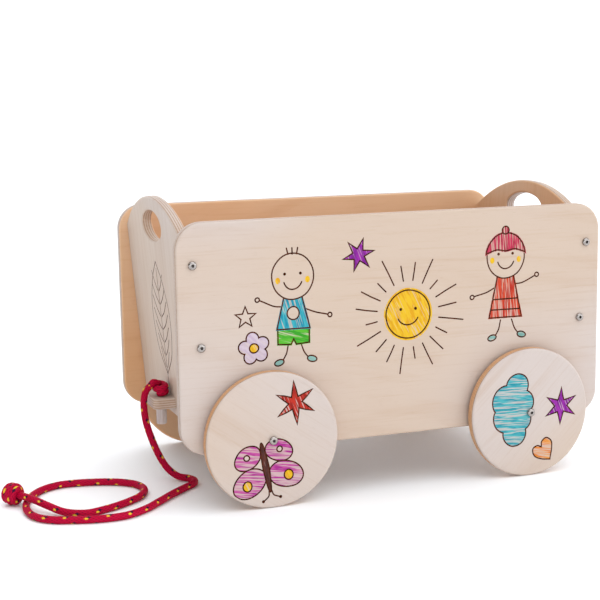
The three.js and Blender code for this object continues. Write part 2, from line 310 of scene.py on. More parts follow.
# Each crayon: colour, deeper colour, angle of its strokes and how much wood shows.
CRAYONS = {
    "sun_yellow": ((248, 202, 36), (236, 174, 14), 1.1, 0.10),
    "sky_blue": ((62, 184, 200), (20, 146, 176), 1.3, 0.26),
    "grass_green": ((96, 198, 50), (56, 168, 36), 0.3, 0.12),
    "crimson": ((206, 50, 88), (176, 20, 62), 1.5, 0.44),
    "brick_red": ((220, 74, 40), (192, 42, 22), 1.5, 0.44),
    "star_red": ((206, 50, 30), (160, 26, 14), 1.2, 0.26),
    "purple": ((164, 40, 178), (128, 20, 148), 1.2, 0.18),
    "orchid": ((206, 92, 168), (178, 44, 150), 0.16, 0.56),
    "turquoise": ((84, 188, 198), (40, 158, 178), 0.05, 0.44),
    "lilac": ((222, 206, 222), (208, 188, 212), 0.6, 0.30),
    "orange": ((242, 162, 78), (232, 128, 40), 0.2, 0.46),
    "mint": ((150, 196, 190), (128, 180, 174), 0.2, 0.10),
    "bark": ((100, 46, 36), (72, 30, 22), 1.4, 0.05),
}


def paint_materials():
    """Every material of the boards by its paint name."""
    paints = {
        "birch": birch_material("birch_plywood_finish"),
        # The wheels' rims carry painted warm bounce light and shade.
        "wheel_rim": birch_material("birch_wheel_rim_painted_light", RIM_BOUNCE_LIGHT_TINT, 4.5, 3.0),
        "floor_board": birch_material("birch_floor_board", NO_TINT),
        "ink": mottled_material(
            "ink", (screen_colour(60, 24, 12), screen_colour(98, 50, 32)),
            (240.0, 240.0, 240.0), 3.0, (0.35, 0.7), (0.45, 0.6),
            {"Specular IOR Level": 0.05}, "board"),
    }
    for name, (colour, deep, angle, gaps) in CRAYONS.items():
        paints[name] = crayon_material(
            "crayon_" + name, screen_colour(*colour), screen_colour(*deep), angle, gaps)
    return paints


# ---- flat shapes ----


def left_of(way):
    return Vector((-way.y, way.x))


def sides_of(loop):
    return list(zip(loop, loop[1:] + loop[:1]))


def counter_clockwise(loop):
    return loop if sum(a.cross(b) for a, b in sides_of(loop)) > 0 else loop[::-1]


def inset(loop, distance, limit=2.2):
    """The counter-clockwise loop moved inward by a distance, its corners mitred."""
    moved = []
    for before, point, after in zip(loop[-1:] + loop[:-1], loop, loop[1:] + loop[:1]):
        first = left_of((point - before).normalized())
        second = left_of((after - point).normalized())
        middle = (first + second).normalized()
        stretch = min(limit, 1 / max(middle.dot(second), 0.1))
        moved.append(point + middle * distance * stretch)
    return moved


def arc(centre, radii, start, stop, steps):
    """Points along an ellipse's arc, both ends included. Angles are in degrees."""
    rx, ry = radii
    angles = [radians(start + (stop - start) * i / steps) for i in range(steps + 1)]
    return [Vector((centre[0] + rx * cos(a), centre[1] + ry * sin(a))) for a in angles]


def ellipse(centre, rx, ry=None, tilt=0.0, steps=40):
    ring = arc((0, 0), (rx, ry or rx), 0, 360, steps)[:-1]
    return moved_loop(ring, centre, tilt)


def moved_loop(loop, centre, tilt=0.0):
    turn = Matrix.Rotation(radians(tilt), 2)
    return [turn @ point + Vector(centre) for point in loop]


def run_on(points):
    """The points with one more at each end, straight on, for a spline that meets them all."""
    points = [Vector(point) for point in points]
    return [2 * points[0] - points[1]] + points + [2 * points[-1] - points[-2]]


def directions(line):
    """The way that a line goes at each of its points."""
    ways = [(b - a).normalized() for a, b in zip(line, line[1:])]
    return [ways[0], *((a + b).normalized() for a, b in zip(ways, ways[1:])), ways[-1]]


def smooth(points, steps=8):
    """A smooth line through the points (a Catmull-Rom spline)."""
    points = run_on(points)
    line = []
    for p, q, r, s in zip(points, points[1:], points[2:], points[3:]):
        for i in range(steps):
            t = i / steps
            line.append(0.5 * (
                2 * q + (r - p) * t + (2 * p - 5 * q + 4 * r - s) * t * t
                + (3 * q - p - 3 * r + s) * t ** 3))
    return line + [points[-2]]


def rounded_rectangle(half_length, low, high, radius, steps=12):
    corners = [(1, low, -90), (1, high, 0), (-1, high, 90), (-1, low, 180)]
    loop = []
    for side, edge, start in corners:
        inward = radius if edge == low else -radius
        centre = (side * (half_length - radius), edge + inward)
        loop += arc(centre, (radius, radius), start, start + 90, steps)
    return loop


def polygon(*points):
    return [Vector(point) for point in points]


def rectangle(half_width, low, high):
    return polygon((-half_width, low), (half_width, low), (half_width, high), (-half_width, high))


def both_halves(half):
    """The loop of a shape that is alike on both sides, from one side's line, end to end."""
    return half + [Vector((-point.x, point.y)) for point in half[-2:0:-1]]


# ---- drawing ----
# A drawing is a list of (paint, loop), each laid over the ones before it.

# Without a seed of its own, the noise starts from the clock and differs from run to run.
noise.seed_set(5)


def by_hand(line, amount=0.5):
    """The line with a small wander, as if drawn by hand."""
    line = [Vector(point) for point in line]
    return [point + amount * noise.noise_vector((point / 14).to_3d()).to_2d() for point in line]


def stroke(line):
    """The outline of a drawn line, with round ends."""
    ways, half = directions(line), INK / 2
    one = [point + left_of(way) * half for point, way in zip(line, ways)]
    other = [point - left_of(way) * half for point, way in zip(line, ways)]
    last, first = round_end(line[-1], ways[-1], half), round_end(line[0], -ways[0], half)
    return other + last + one[::-1] + first


def round_end(point, way, radius):
    start = degrees(atan2(way.y, way.x)) - 90
    return arc(point, (radius, radius), start + 45, start + 135, 2)


def ink_line(line):
    return ("ink", stroke(by_hand(line)))


def outlined(loop, fill, bleed=0.0):
    """A shape with an ink outline. The crayon runs past the outline by the bleed."""
    loop = counter_clockwise(by_hand(loop))
    under = [(fill, inset(loop, -bleed))] if bleed else []
    return under + [("ink", inset(loop, -INK / 2)), (fill, inset(loop, INK / 2))]


def bunch(loops, fill):
    """Shapes that run into one another inside one ink outline."""
    return ([("ink", inset(loop, -INK / 2)) for loop in loops]
            + [(fill, inset(loop, INK / 2)) for loop in loops])


def placed(drawing, centre, tilt=0.0):
    return [(paint, moved_loop(loop, centre, tilt)) for paint, loop in drawing]


def star(rays, long, short, tilt=0.0, plump=False):
    """A star's outline. Plump rays have a point more on each side."""
    loop = []
    for i in range(rays):
        middle = radians(tilt + 360 * i / rays)
        step = pi / rays
        corners = [(long, 0.0), (short, step)]
        if plump:
            belly = 0.62 * long
            corners[1:] = [(belly, 0.30 * step), (short, step), (belly, 1.70 * step)]
        loop += [Vector((r * cos(middle + a), r * sin(middle + a))) for r, a in corners]
    return loop


def stick_child(outfit, faces_left):
    """A plain stick child about its chin: head, outfit, arms and legs."""
    way = -1 if faces_left else 1
    limbs = [
        [(way * 9, -9), (way * 22, -8), (way * 38, -1)],
        [(way * -9, -10), (way * -24, -17), (way * -40, -21)],
        [(-6, -50), (-8, -60), (-13, -68)],
        [(8, -50), (12, -60), (17, -67)],
    ]
    drawing = [ink_line(smooth(limb)) for limb in limbs]
    drawing += outlined(ellipse((way * 40.5, 0), 2.4), "birch")
    drawing += outlined(ellipse((way * -42.5, -21.5), 2.4), "birch")
    drawing += outlined(ellipse((-17, -70), 5.5, 3.2, 15), "mint")
    drawing += outlined(ellipse((21, -68.5), 5.5, 3.2, -15), "mint")
    drawing += outfit
    drawing += outlined(ellipse((0, 23), 24, 25), "birch")
    for eye in (-9, 9):
        drawing.append(("ink", ellipse((eye, 26), 1.7, steps=12)))
    drawing += [("sun_yellow", ellipse((side * 17, 19), 2.8, 3.6, steps=16)) for side in (-1, 1)]
    drawing.append(ink_line(arc((0, 21), (11, 12), 200, 340, 14)))
    return drawing


def boy():
    shirt = polygon((-10, 1), (10, 1), (19, -34), (-19, -34))
    shorts = polygon((-18, -34), (18, -34), (18, -50), (3, -51), (0, -45), (-3, -51), (-18, -50))
    outfit = outlined(shorts, "grass_green", 1.2) + outlined(shirt, "sky_blue", 1.2)
    outfit += outlined(ellipse((0, -17), 7), "birch")
    hair = [ink_line([(x, 47), (1.3 * x, 54)]) for x in (-5, 0, 5)]
    return stick_child(outfit, True) + hair


def girl():
    dress = polygon((-10, 1), (10, 1), (21, -47), (-21, -47))
    outfit = outlined(dress, "brick_red", 1.2)
    outfit += [ink_line([(-16, -26), (16, -26)]), ink_line([(-19, -38), (19, -38)])]
    cap = arc((0, 23), (25, 27), 8, 172, 24)
    brim = smooth([(-25, 27), (-12, 31), (0, 29), (12, 31), (25, 27)])
    hat = outlined(cap + brim[1:-1], "crimson", 1.4) + outlined(ellipse((0, 53), 4.5), "crimson")
    return stick_child(outfit, False) + hat


def sun():
    drawing = []
    for i in range(20):
        angle = radians(18 * i + 9)
        way = Vector((cos(angle), sin(angle)))
        reach = 60 + 9 * sin(2.4 * i)
        drawing.append(ink_line([way * 38, way * 0.5 * (38 + reach), way * reach]))
    drawing += outlined(ellipse((0, 0), 27, steps=56), "sun_yellow", 2.6)
    drawing += [("ink", ellipse((x, 6), 1.8, steps=12)) for x in (-9, 9)]
    drawing.append(ink_line(arc((0, 1), (13, 13), 205, 335, 16)))
    return drawing


def daisy():
    petal = ellipse((0, 10), 7.2, 7.8, steps=24)
    petals = [moved_loop(petal, (0, 0), 72 * i + 10) for i in range(5)]
    return bunch(petals, "lilac") + outlined(ellipse((0, 0), 5, steps=20), "sun_yellow")


def butterfly():
    drawing = []
    for side in (-1, 1):
        drawing += outlined(ellipse((side * 18, -15), 16, 12, side * 28), "orchid", 0.8)
        drawing += outlined(ellipse((side * 21, 13), 20, 14.5, side * 24), "orchid", 0.8)
        drawing += outlined(ellipse((side * 24, 15), 5, 5.5), "sun_yellow")
        drawing += outlined(ellipse((side * 19, -16), 3.2), "birch")
        drawing.append(ink_line(smooth([(side * 1.5, 26), (side * 3, 32), (side * 9, 36)])))
        drawing.append(("ink", ellipse((side * 10, 36.5), 1.8, steps=12)))
    return drawing + outlined(ellipse((0, 0), 3.4, 28), "bark")


def cloud():
    puffs = [(-27, -3, 15), (-10, 9, 17), (10, 10, 19), (29, -1, 14), (10, -9, 15), (-10, -9, 14)]
    return bunch([by_hand(ellipse((x, y), r), 0.8) for x, y, r in puffs], "turquoise")


def heart():
    half = smooth([(0, 7), (4, 12), (11, 12), (13.5, 4), (8, -5), (0, -13)])
    return outlined(both_halves(half), "orange")


def leaf():
    edge = smooth([(0, 66), (24, 42), (40, 5), (30, -38), (0, -66)])
    drawing = outlined(both_halves(edge[::-1]), "birch")
    drawing.append(ink_line([(0, 58), (0, 0), (0, -80)]))
    for side in (-1, 1):
        for i in range(7):
            root = 40 - 15 * i
            reach = 31 * cos(0.28 * (i - 2.6))
            drawing.append(ink_line(smooth([
                (side * 3, root - 8), (side * 0.55 * reach, root), (side * reach, root + 13)])))
    return drawing


SIDE_DRAWING = (
    placed(boy(), (-126, 226)) + placed(sun(), (10, 198)) + placed(girl(), (132, 233))
    + placed(outlined(star(5, 12, 5, 90), "birch"), (-180, 208))
    + placed(daisy(), (-171, 174))
    + placed(outlined(star(6, 19, 7, 12, True), "purple"), (-49, 268)))

WHEEL_DRAWINGS = {
    "front": (placed(outlined(star(6, 24, 7.5, 94, True), "star_red"), (26, 39))
              + placed(butterfly(), (-9, -29), 190)),
    "rear": (placed(cloud(), (-21, 4), 84)
             + placed(outlined(star(6, 22, 8, 88, True), "purple"), (40, 4))
             + placed(heart(), (19, -48), 35)),
}

# ---- meshes ----

# Points nearer than this, in millimetres, count as one, and so do directions with a cosine
# above this.
CLOSE = 1e-4
ALIKE = 0.9999999


class Shell:
    """The faces of one piece, welded where their corners meet, each with its paint."""

    def __init__(self):
        self.points = []
        self.number = {}
        self.faces = []
        self.paints = []
        self.smooth = []

    def corner(self, point):
        key = tuple(round(c, 4) for c in point)
        if key not in self.number:
            self.number[key] = len(self.points)
            self.points.append(Vector(point))
        return self.number[key]

    def face(self, points, paint, is_smooth):
        corners = list(dict.fromkeys(self.corner(point) for point in points))
        if len(corners) > 2:
            self.faces.append(corners)
            self.paints.append(paint)
            self.smooth.append(is_smooth)

    def mend(self, extras):
        """Makes points that lie along a face's edge corners of that face."""
        for number, corners in enumerate(self.faces):
            mended = []
            for a, b in sides_of(corners):
                start, way = self.points[a], self.points[b] - self.points[a]
                between = [
                    extra for extra in extras
                    if (self.points[extra] - start).length < way.length
                    and (self.points[extra] - start).normalized().dot(way.normalized()) > ALIKE]
                mended += [a, *sorted(between, key=lambda e: (self.points[e] - start).length)]
            self.faces[number] = mended

    def strip(self, first, second, paint):
        """A closed band of smooth quads from one loop to the next."""
        for (a, b), (c, d) in zip(sides_of(first), sides_of(second)):
            self.face((a, b, d, c), paint, True)


def new_piece(node, shell, paints, place=Matrix.Identity(4), body="root"):
    """A piece of those faces in the node's stead, placed in the frame, riding on its body."""
    name = "fine_" + node
    mesh = bpy.data.meshes.new(name)
    mesh.from_pydata([place @ point * MM for point in shell.points], [], shell.faces)
    used = sorted(set(shell.paints), key=list(paints).index)
    for paint in used:
        mesh.materials.append(paints[paint])
    mesh.polygons.foreach_set("material_index", [used.index(p) for p in shell.paints])
    mesh.polygons.foreach_set("use_smooth", shell.smooth)
    mesh.validate()
    piece = add_object(name, mesh)
    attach(piece, body)
    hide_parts(node)
    return piece


def add_vectors(piece, name, vectors):
    layer = piece.data.attributes.new(name, "FLOAT_VECTOR", "POINT")
    layer.data.foreach_set("vector", [c for vector in vectors for c in vector])


def raised(point, height):
    return Vector((point.x, point.y, height))


def at_height(loop, height):
    return [raised(point, height) for point in loop]


def inside(loop, places):
    """Which of the places, an array of (x, y), lie inside the loop."""
    crossed = np.zeros(len(places), bool)
    for a, b in sides_of(loop):
        if a.y != b.y:
            spans = (places[:, 1] < a.y) != (places[:, 1] < b.y)
            x = a.x + (places[:, 1] - a.y) * (b.x - a.x) / (b.y - a.y)
            crossed ^= spans & (places[:, 0] < x)
    return crossed


def is_between(point, a, b):
    return (point - a).length + (b - point).length < (b - a).length + CLOSE


def flat_faces(shell, outline, holes, drawing, height, up):
    """Fills a board's flat face around its holes, cut up along the drawing's loops, and
    mends the edges that those loops cross."""
    layers = [("birch", outline), *drawing, *((None, loop) for loop in holes)]
    corners, edges = [], []
    for _, loop in layers:
        first, count = len(corners), len(loop)
        edges += [(first + i, first + (i + 1) % count) for i in range(count)]
        corners += loop
    made = delaunay_2d_cdt(corners, edges, [], 0, CLOSE)
    points, triangles = made[0], made[2]
    middles = np.array([sum((points[i] for i in t), Vector((0, 0))) / 3 for t in triangles])
    top = np.full(len(triangles), -1)
    for number, (_, loop) in enumerate(layers):
        top[inside(loop, middles)] = number
    top[~inside(outline, middles)] = -1
    for triangle, number in zip(triangles, top):
        paint = layers[number][0] if number >= 0 else None
        if paint:
            order = triangle if up else triangle[::-1]
            shell.face([raised(points[i], height) for i in order], paint, False)
    crossings = [point for point, given in zip(points, made[3]) if not given]
    rim = [side for loop in (outline, *holes) for side in sides_of(loop)]
    on_rim = [c for c in crossings if any(is_between(c, a, b) for a, b in rim)]
    shell.mend([shell.corner(raised(point, height)) for point in on_rim])


def eased_rows(ease, steps=5):
    """How far in and how high a board's edge is, from its front face to its back face."""
    if not ease:
        return [(0, PLY / 2), (0, -PLY / 2)]
    half = PLY / 2 - ease
    rows = []
    for i in range(steps + 1):
        angle = pi / 2 * i / steps
        rows.append((ease * (1 - sin(angle)), half + ease * cos(angle)))
    return rows + [(inward, -height) for inward, height in rows[::-1]]


def add_edge(shell, loop, ease, is_hole, paint="birch"):
    """The rounded edge around an outline or a hole: its loops on the front and back."""
    sign = -1 if is_hole else 1
    loops = [(inset(loop, sign * inward), height) for inward, height in eased_rows(ease)]
    for (first, high), (second, low) in zip(loops, loops[1:]):
        bands = at_height(first, high), at_height(second, low)
        shell.strip(*(bands if is_hole else bands[::-1]), paint)
    return loops[0][0], loops[-1][0]


def board(node, place, cut, outline, holes=(), pockets=(), drawing=(), ease=EASE,
          body="root", rim="birch", wood="birch"):
    """A plywood board. Cut is its place on the sheet that it was sawn from, holes are
    (loop, ease) and pockets are (loop, depth), sunk in the back face."""
    shell = Shell()
    front, back = add_edge(shell, outline, ease, False, rim)
    through = [add_edge(shell, loop, its_ease, True) for loop, its_ease in holes]
    flat_faces(shell, front, [f for f, _ in through], list(drawing), PLY / 2, True)
    back_holes = [b for _, b in through] + [loop for loop, _ in pockets]
    flat_faces(shell, back, back_holes, [], -PLY / 2, False)
    for loop, depth in pockets:
        bottom = depth - PLY / 2
        shell.strip(at_height(loop, bottom), at_height(loop, -PLY / 2), "birch")
        flat_faces(shell, loop, [], [], bottom, False)
    paints = {**PAINTS, "birch": PAINTS[wood]}
    piece = new_piece(node, shell, paints, place, body)
    add_vectors(piece, "board", [cut @ point * MM for point in shell.points])
    add_vectors(piece, "drawing", [point * MM for point in shell.points])


def turned_shell(rows, closed, sides=36):
    """A turned piece about the third axis: rows of (radius, height), or with a third value,
    the share of a hexagon in that row, which makes it a row of the recess. The recess takes
    a dark colour as painted shade."""
    loops = []
    for row in rows:
        radius, height, hexagon = (*row, 0)[:3]
        loop = []
        for i in range(sides):
            angle = 2 * pi * i / sides
            flat = cos(pi / 6) / cos((angle % (pi / 3)) - pi / 6)
            reach = radius * (1 + hexagon * (flat - 1))
            loop.append(Vector((reach * cos(angle), reach * sin(angle), height)))
        loops.append(loop)
    shell = Shell()
    bands = sides_of(loops) if closed else sides_of(loops)[:-1]
    for (first, second), row in zip(bands, rows):
        shell.strip(first, second, "recess" if len(row) > 2 else "finish")
    if not closed:
        shell.face(loops[0][::-1], "finish", True)
        shell.face(loops[-1], "recess" if len(rows[-1]) > 2 else "finish", True)
    return shell


def axes(across, up, out, origin):
    """The placement of a piece drawn with those directions as its own three axes."""
    turn = Matrix((across, up, out)).transposed().to_4x4()
    return Matrix.Translation(origin) @ turn


def leaning(end):
    """Axes of a piece in the end panel there, which leans out at its top."""
    out = Vector((end * cos(LEAN), 0, -sin(LEAN)))
    up = Vector((end * sin(LEAN), 0, cos(LEAN)))
    return up.cross(out), up, out


def box_of(node):
    low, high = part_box(node)
    return Vector(low) / MM, Vector(high) / MM


def middle_of(node):
    low, high = box_of(node)
    return (low + high) / 2


def outward(side):
    """Axes of a piece that faces out of the box at that side, drawn upright."""
    return Vector((-side, 0, 0)), Vector((0, 0, 1)), Vector((0, side, 0))


add_camera()

# ---- rope ----

STRANDS = 8
PICK = 5.0
RING_STEP = 0.75
RING_SIDES = 40
RELIEF = 0.36
FLECK_STEP = 7.5

# Each yarn's colour on its crown, and its darker colour in the grooves of the braid, which is
# painted shade.
YARNS = {
    "red": ((210, 0, 62), (128, 0, 42)),
    "yellow": ((255, 214, 60), (220, 150, 20)),
    "navy": ((44, 20, 60), (20, 10, 34)),
}


def spline(points):
    """A centripetal Catmull-Rom line through the points, in short steps."""
    points = run_on(points)
    line = []
    for p, q, r, s in zip(points, points[1:], points[2:], points[3:]):
        t0, t1 = 0.0, (q - p).length ** 0.5
        t2 = t1 + (r - q).length ** 0.5
        t3 = t2 + (s - r).length ** 0.5
        steps = max(4, round((r - q).length / 0.5))
        for i in range(steps):
            t = t1 + (t2 - t1) * i / steps
            a = p.lerp(q, (t - t0) / (t1 - t0))
            b = q.lerp(r, (t - t1) / (t2 - t1))
            c = r.lerp(s, (t - t2) / (t3 - t2))
            d = a.lerp(b, (t - t0) / (t2 - t0))
            e = b.lerp(c, (t - t1) / (t3 - t1))
            line.append(d.lerp(e, (t - t1) / (t2 - t1)))
    return line + [points[-2]]


def even(line):
    """The line again in equal steps, one to each ring of the rope."""
    lengths = [0.0]
    for a, b in zip(line, line[1:]):
        lengths.append(lengths[-1] + (b - a).length)
    count = round(lengths[-1] / RING_STEP)
    evened, k = [], 0
    for i in range(count + 1):
        target = lengths[-1] * i / count
        while k < len(line) - 2 and lengths[k + 1] < target:
            k += 1
        share = (target - lengths[k]) / (lengths[k + 1] - lengths[k])
        evened.append(line[k].lerp(line[k + 1], min(1.0, share)))
    return evened


def braid(along, angle):
    """Height of the braid, 0 to 1, and its cell at a place on the rope."""
    turns = STRANDS * angle / (2 * pi)
    first = turns + along / PICK
    second = turns - along / PICK
    i, j = floor(first), floor(second)
    across, length = first - i, second - j
    if (i + j) % 2:
        across, length = length, across
    height = 0.62 * sin(pi * across) ** 0.7 + 0.38 * sin(pi * length) ** 0.7
    return height, (i - j, (i + j) % (2 * STRANDS))


def rope_ring(centre, side, other, along, dome):
    """The braid's points around one place of the rope, and their heights."""
    points, heights = [], []
    for m in range(RING_SIDES):
        angle = 2 * pi * m / RING_SIDES
        height = braid(along, angle)[0]
        reach = (ROPE + RELIEF * (height - 0.7)) * max(dome, 0.15)
        points.append(centre + reach * (cos(angle) * side + sin(angle) * other))
        heights.append(height)
    return points, heights


def fleck_cells(length):
    """The braid's cells where the tracer thread shows: {cell: paint}."""
    cells = {}
    for k in range(int(length / FLECK_STEP) + 1):
        along = FLECK_STEP * k
        angle = 2 * pi * ((k / 3 + 0.004 * k) % 1.0)
        row, column = braid(along, angle)[1]
        cells[(row, column)] = "yellow"
        cells[(row - 1, (column + 1) % (2 * STRANDS))] = "navy"
    return cells


def rope_shell(line, domed):
    """A braided tube along an even line: (shell, heights). Domed says which of its two ends
    are round; the other ends are flat, against the next piece."""
    ways = directions(line)
    side = ways[0].orthogonal().normalized()
    step = (line[1] - line[0]).length
    cells = fleck_cells(step * len(line))
    shell, heights, rings = Shell(), {}, []
    for n, (centre, way) in enumerate(zip(line, ways)):
        side = (side - way * side.dot(way)).normalized()
        from_ends = (n * step, (len(line) - 1 - n) * step)
        near = min([ROPE, *(way_in for way_in, is_domed in zip(from_ends, domed) if is_domed)])
        dome = sqrt(1 - (1 - near / ROPE) ** 2)
        ring, relief = rope_ring(centre, side, way.cross(side), n * step, dome)
        heights.update((shell.corner(point), height) for point, height in zip(ring, relief))
        rings.append(ring)
    for n, (first, second) in enumerate(zip(rings, rings[1:])):
        for m in range(RING_SIDES):
            angle = 2 * pi * (m + 0.5) / RING_SIDES
            paint = cells.get(braid((n + 0.5) * step, angle)[1], "red")
            k = (m + 1) % RING_SIDES
            shell.face((first[m], first[k], second[k], second[m]), paint, True)
    shell.face(rings[0][::-1], "red", True)
    shell.face(rings[-1], "red", True)
    return shell, heights


def rope_material(name, light, deep):
    made, tree, shader = new_material(name)
    relief = attribute(tree, "relief")
    height = add(tree, "SeparateXYZ", {0: relief}).outputs["X"]
    fuzz = stretched_noise(tree, own_place(tree), (1400.0, 1400.0, 1400.0), 2.0)
    # Painted shade: the braid's grooves, low in relief, take the darker colour. The fuzz adds
    # random tone.
    groove_shade_and_fuzz = math_node(tree, "ADD", height, math_node(tree, "MULTIPLY", fuzz, 0.35))
    colour = mix(tree, ramp(tree, groove_shade_and_fuzz, 0.45, 1.0), deep, light)
    surface(tree, shader, colour, ramp(tree, fuzz, 0.3, 0.7, 0.55, 0.75), 0.1)
    bump(tree, shader, fuzz, 0.12)
    return made


def rope_piece(node, line, paints, domed):
    shell, heights = rope_shell(line, domed)
    piece = new_piece(node, shell, paints)
    add_vectors(piece, "relief", [(heights[i], 0, 0) for i in range(len(shell.points))])
    return piece


def end_knot_line():
    """The rope goes through the knot, turns back and winds round itself to the knot's neck."""
    centre = middle_of("rope_end_knot")
    neck = Vector(ROPE_ROUTE[-1])
    way = (centre - neck).normalized()
    up = Vector((0, 0, 1))
    side = way.cross(up)
    points = [neck, neck.lerp(centre, 0.5), centre, centre + way * 7]
    for i in range(25):
        share = i / 24
        along = END_KNOT["half_length"] * (1 - 2 * share)
        radius = END_KNOT["radius"] * sqrt(1 - (0.72 * (1 - 2 * share)) ** 2)
        angle = 2 * pi * END_KNOT["turns"] * share + 0.6
        points.append(
            centre + way * along + radius * (cos(angle) * up + sin(angle) * side))
    return even(spline(points))


def tow_knot_line():
    """The rope's tail comes up through the tab, winds round itself and leaves to the front."""
    low, high = box_of("tow_knot")
    x = middle_of("rope_stopper").x
    tab = box_of("floor_panel")[1].z
    points = [(x, 0, low.z), (x, 0, tab - 4), (x, 0.5, tab + 4)]
    for i in range(15):
        share = i / 14
        angle = radians(-120 + 560 * share)
        points.append((
            x + TOW_KNOT["half_length"] * cos(angle) - 0.3,
            TOW_KNOT["half_width"] * sin(angle),
            tab + TOW_KNOT["up"] + TOW_KNOT["climb"] * share))
    start, second = (Vector(point) for point in ROPE_ROUTE[:2])
    way = (second - start).normalized()
    points += [(x - 3.5, 1.5, high.z - 4.4), start - 5 * way, start, start + 1.5 * way]
    return even(spline(points))


def add_rope():
    """The pull rope, its knot on the tab and the knot at its free end."""
    paints = {
        name: rope_material("rope_" + name, screen_colour(*light), screen_colour(*deep))
        for name, (light, deep) in YARNS.items()}
    line = even(spline(ROPE_ROUTE))
    end_knot = rope_piece("rope_end_knot", end_knot_line(), paints, (False, True))
    rope_piece("tow_knot", tow_knot_line(), paints, (True, False))
    rope = rope_piece("tow_rope", line, paints, (False, False))


add_rope()
PAINTS = paint_materials()

# ---- boards ----


def on_sheet(x, y, turn=0.0):
    """A board's place on a sheet of plywood, so that no two boards have the same grain."""
    return Matrix.Translation((x, y, 0)) @ turn_by(turn)


def add_side_panel(name, side):
    node = "side_panel_" + name
    low, high = box_of(node)
    half = (high.x - low.x) / 2
    middle = middle_of(node)
    place = axes(*outward(side), Vector((middle.x, middle.y, 0)))
    outline = rounded_rectangle(half, low.z, high.z, SIDE_CORNER)
    holes = []
    for end in ENDS:
        for level in BOLT_LEVELS:
            bolt = middle_of(f"panel_bolt_{end}_{name}_{level}")
            holes.append((ellipse((-side * bolt.x, bolt.z), BORE["panel_bolt"], steps=16), 0))
        wheel = middle_of(f"wheel_{end}_{name}")
        holes.append((ellipse((-side * wheel.x, wheel.z), BORE["tee_nut"], steps=20), 0))
    floor_low, floor_high = box_of("floor_panel")
    groove = rectangle(FLOOR["half"] + GAP, floor_low.z - GAP, floor_high.z + GAP)
    board(
        node, place, on_sheet(1100 * side, -180), outline, holes,
        [(groove, FLOOR["groove"])], SIDE_DRAWING)


def add_end_panel(name, end):
    node = "end_panel_" + name
    across, up, out = leaning(end)
    middle = (END_PANEL["low"] + END_PANEL["top"]) / 2
    place = axes(across, up, out, middle_of(node) - up * middle)
    half = END_PANEL["width"] / 2
    dome = END_PANEL["dome"]
    reach = degrees(asin(half / dome))
    outline = polygon((-half, END_PANEL["low"]), (half, END_PANEL["low"]))
    outline += arc((0, END_PANEL["top"] - dome), (dome, dome), 90 - reach, 90 + reach, 48)
    hand = ellipse(
        (0, HAND_HOLE["up"]), HAND_HOLE["half_width"], HAND_HOLE["half_height"], steps=64)
    slot_up = (middle_of("floor_panel").z - place.translation.z) / cos(LEAN)
    height = TAB_SLOT["half_height"]
    slot = rectangle(TAB_SLOT["half_width"], slot_up - height, slot_up + height)
    pockets = [
        (ellipse((side * BARREL_NUT["across"], level / cos(LEAN)), BORE["barrel_nut"],
                 steps=24), BARREL_NUT["depth"])
        for level in BOLT_LEVELS.values() for side in (-1, 1)]
    board(
        node, place, on_sheet(700, 300 * end, 90), outline, [(hand, EASE), (slot, 0)],
        pockets, placed(leaf(), (0, 12)))


def add_floor():
    half, wide, tab = FLOOR["half"], FLOOR["half_width"], TAB["half_width"]
    corner = TAB["corner"]
    round_in = TAB["front"] + corner
    outline = polygon(
        (-half, -wide), (half, -wide), (half, -tab), (TAB["rear"], -tab),
        (TAB["rear"], tab), (half, tab), (half, wide), (-half, wide), (-half, tab))
    outline += arc((round_in, tab - corner), (corner, corner), 90, 180, 10)
    outline += arc((round_in, corner - tab), (corner, corner), 180, 270, 10)
    outline += polygon((-half, -tab))
    place = Matrix.Translation((0, 0, middle_of("floor_panel").z))
    tail = ellipse((middle_of("rope_stopper").x, 0), BORE["tail"], steps=28)
    board(
        "floor_panel", place, on_sheet(-600, 500), outline, [(tail, 0.8)],
        ease=FLOOR["ease"], wood="floor_board")


def add_wheel(end_name, side_name, side, quarter):
    node = f"wheel_{end_name}_{side_name}"
    low, high = box_of(node)
    middle = middle_of(node)
    place = axes(*outward(side), middle) @ turn_by(0 if side < 0 else 140)
    radius = (high.z - low.z) / 2
    cut = on_sheet(250 * quarter - 500, -400, 35 + 50 * quarter)
    bore = ellipse((0, 0), BORE["wheel"], steps=32)
    board(
        node, place, cut, ellipse((0, 0), radius, steps=128), [(bore, 0.5)],
        drawing=WHEEL_DRAWINGS[end_name], body=node, rim="wheel_rim")


for side_name, side in SIDES.items():
    add_side_panel(side_name, side)
for end_name, end in ENDS.items():
    add_end_panel(end_name, end)
add_floor()
for number, (end_name, side_name) in enumerate((e, s) for e in ENDS for s in SIDES):
    add_wheel(end_name, side_name, SIDES[side_name], number)

# ---- hardware ----


def metal_material(name, colour, roughness, spread):
    colours = colour, tuple(0.8 * c for c in colour)
    return mottled_material(
        name, colours, (300.0, 300.0, 300.0), 4.0, (0.35, 0.7),
        (roughness, roughness + spread), {"Metallic": 1.0})


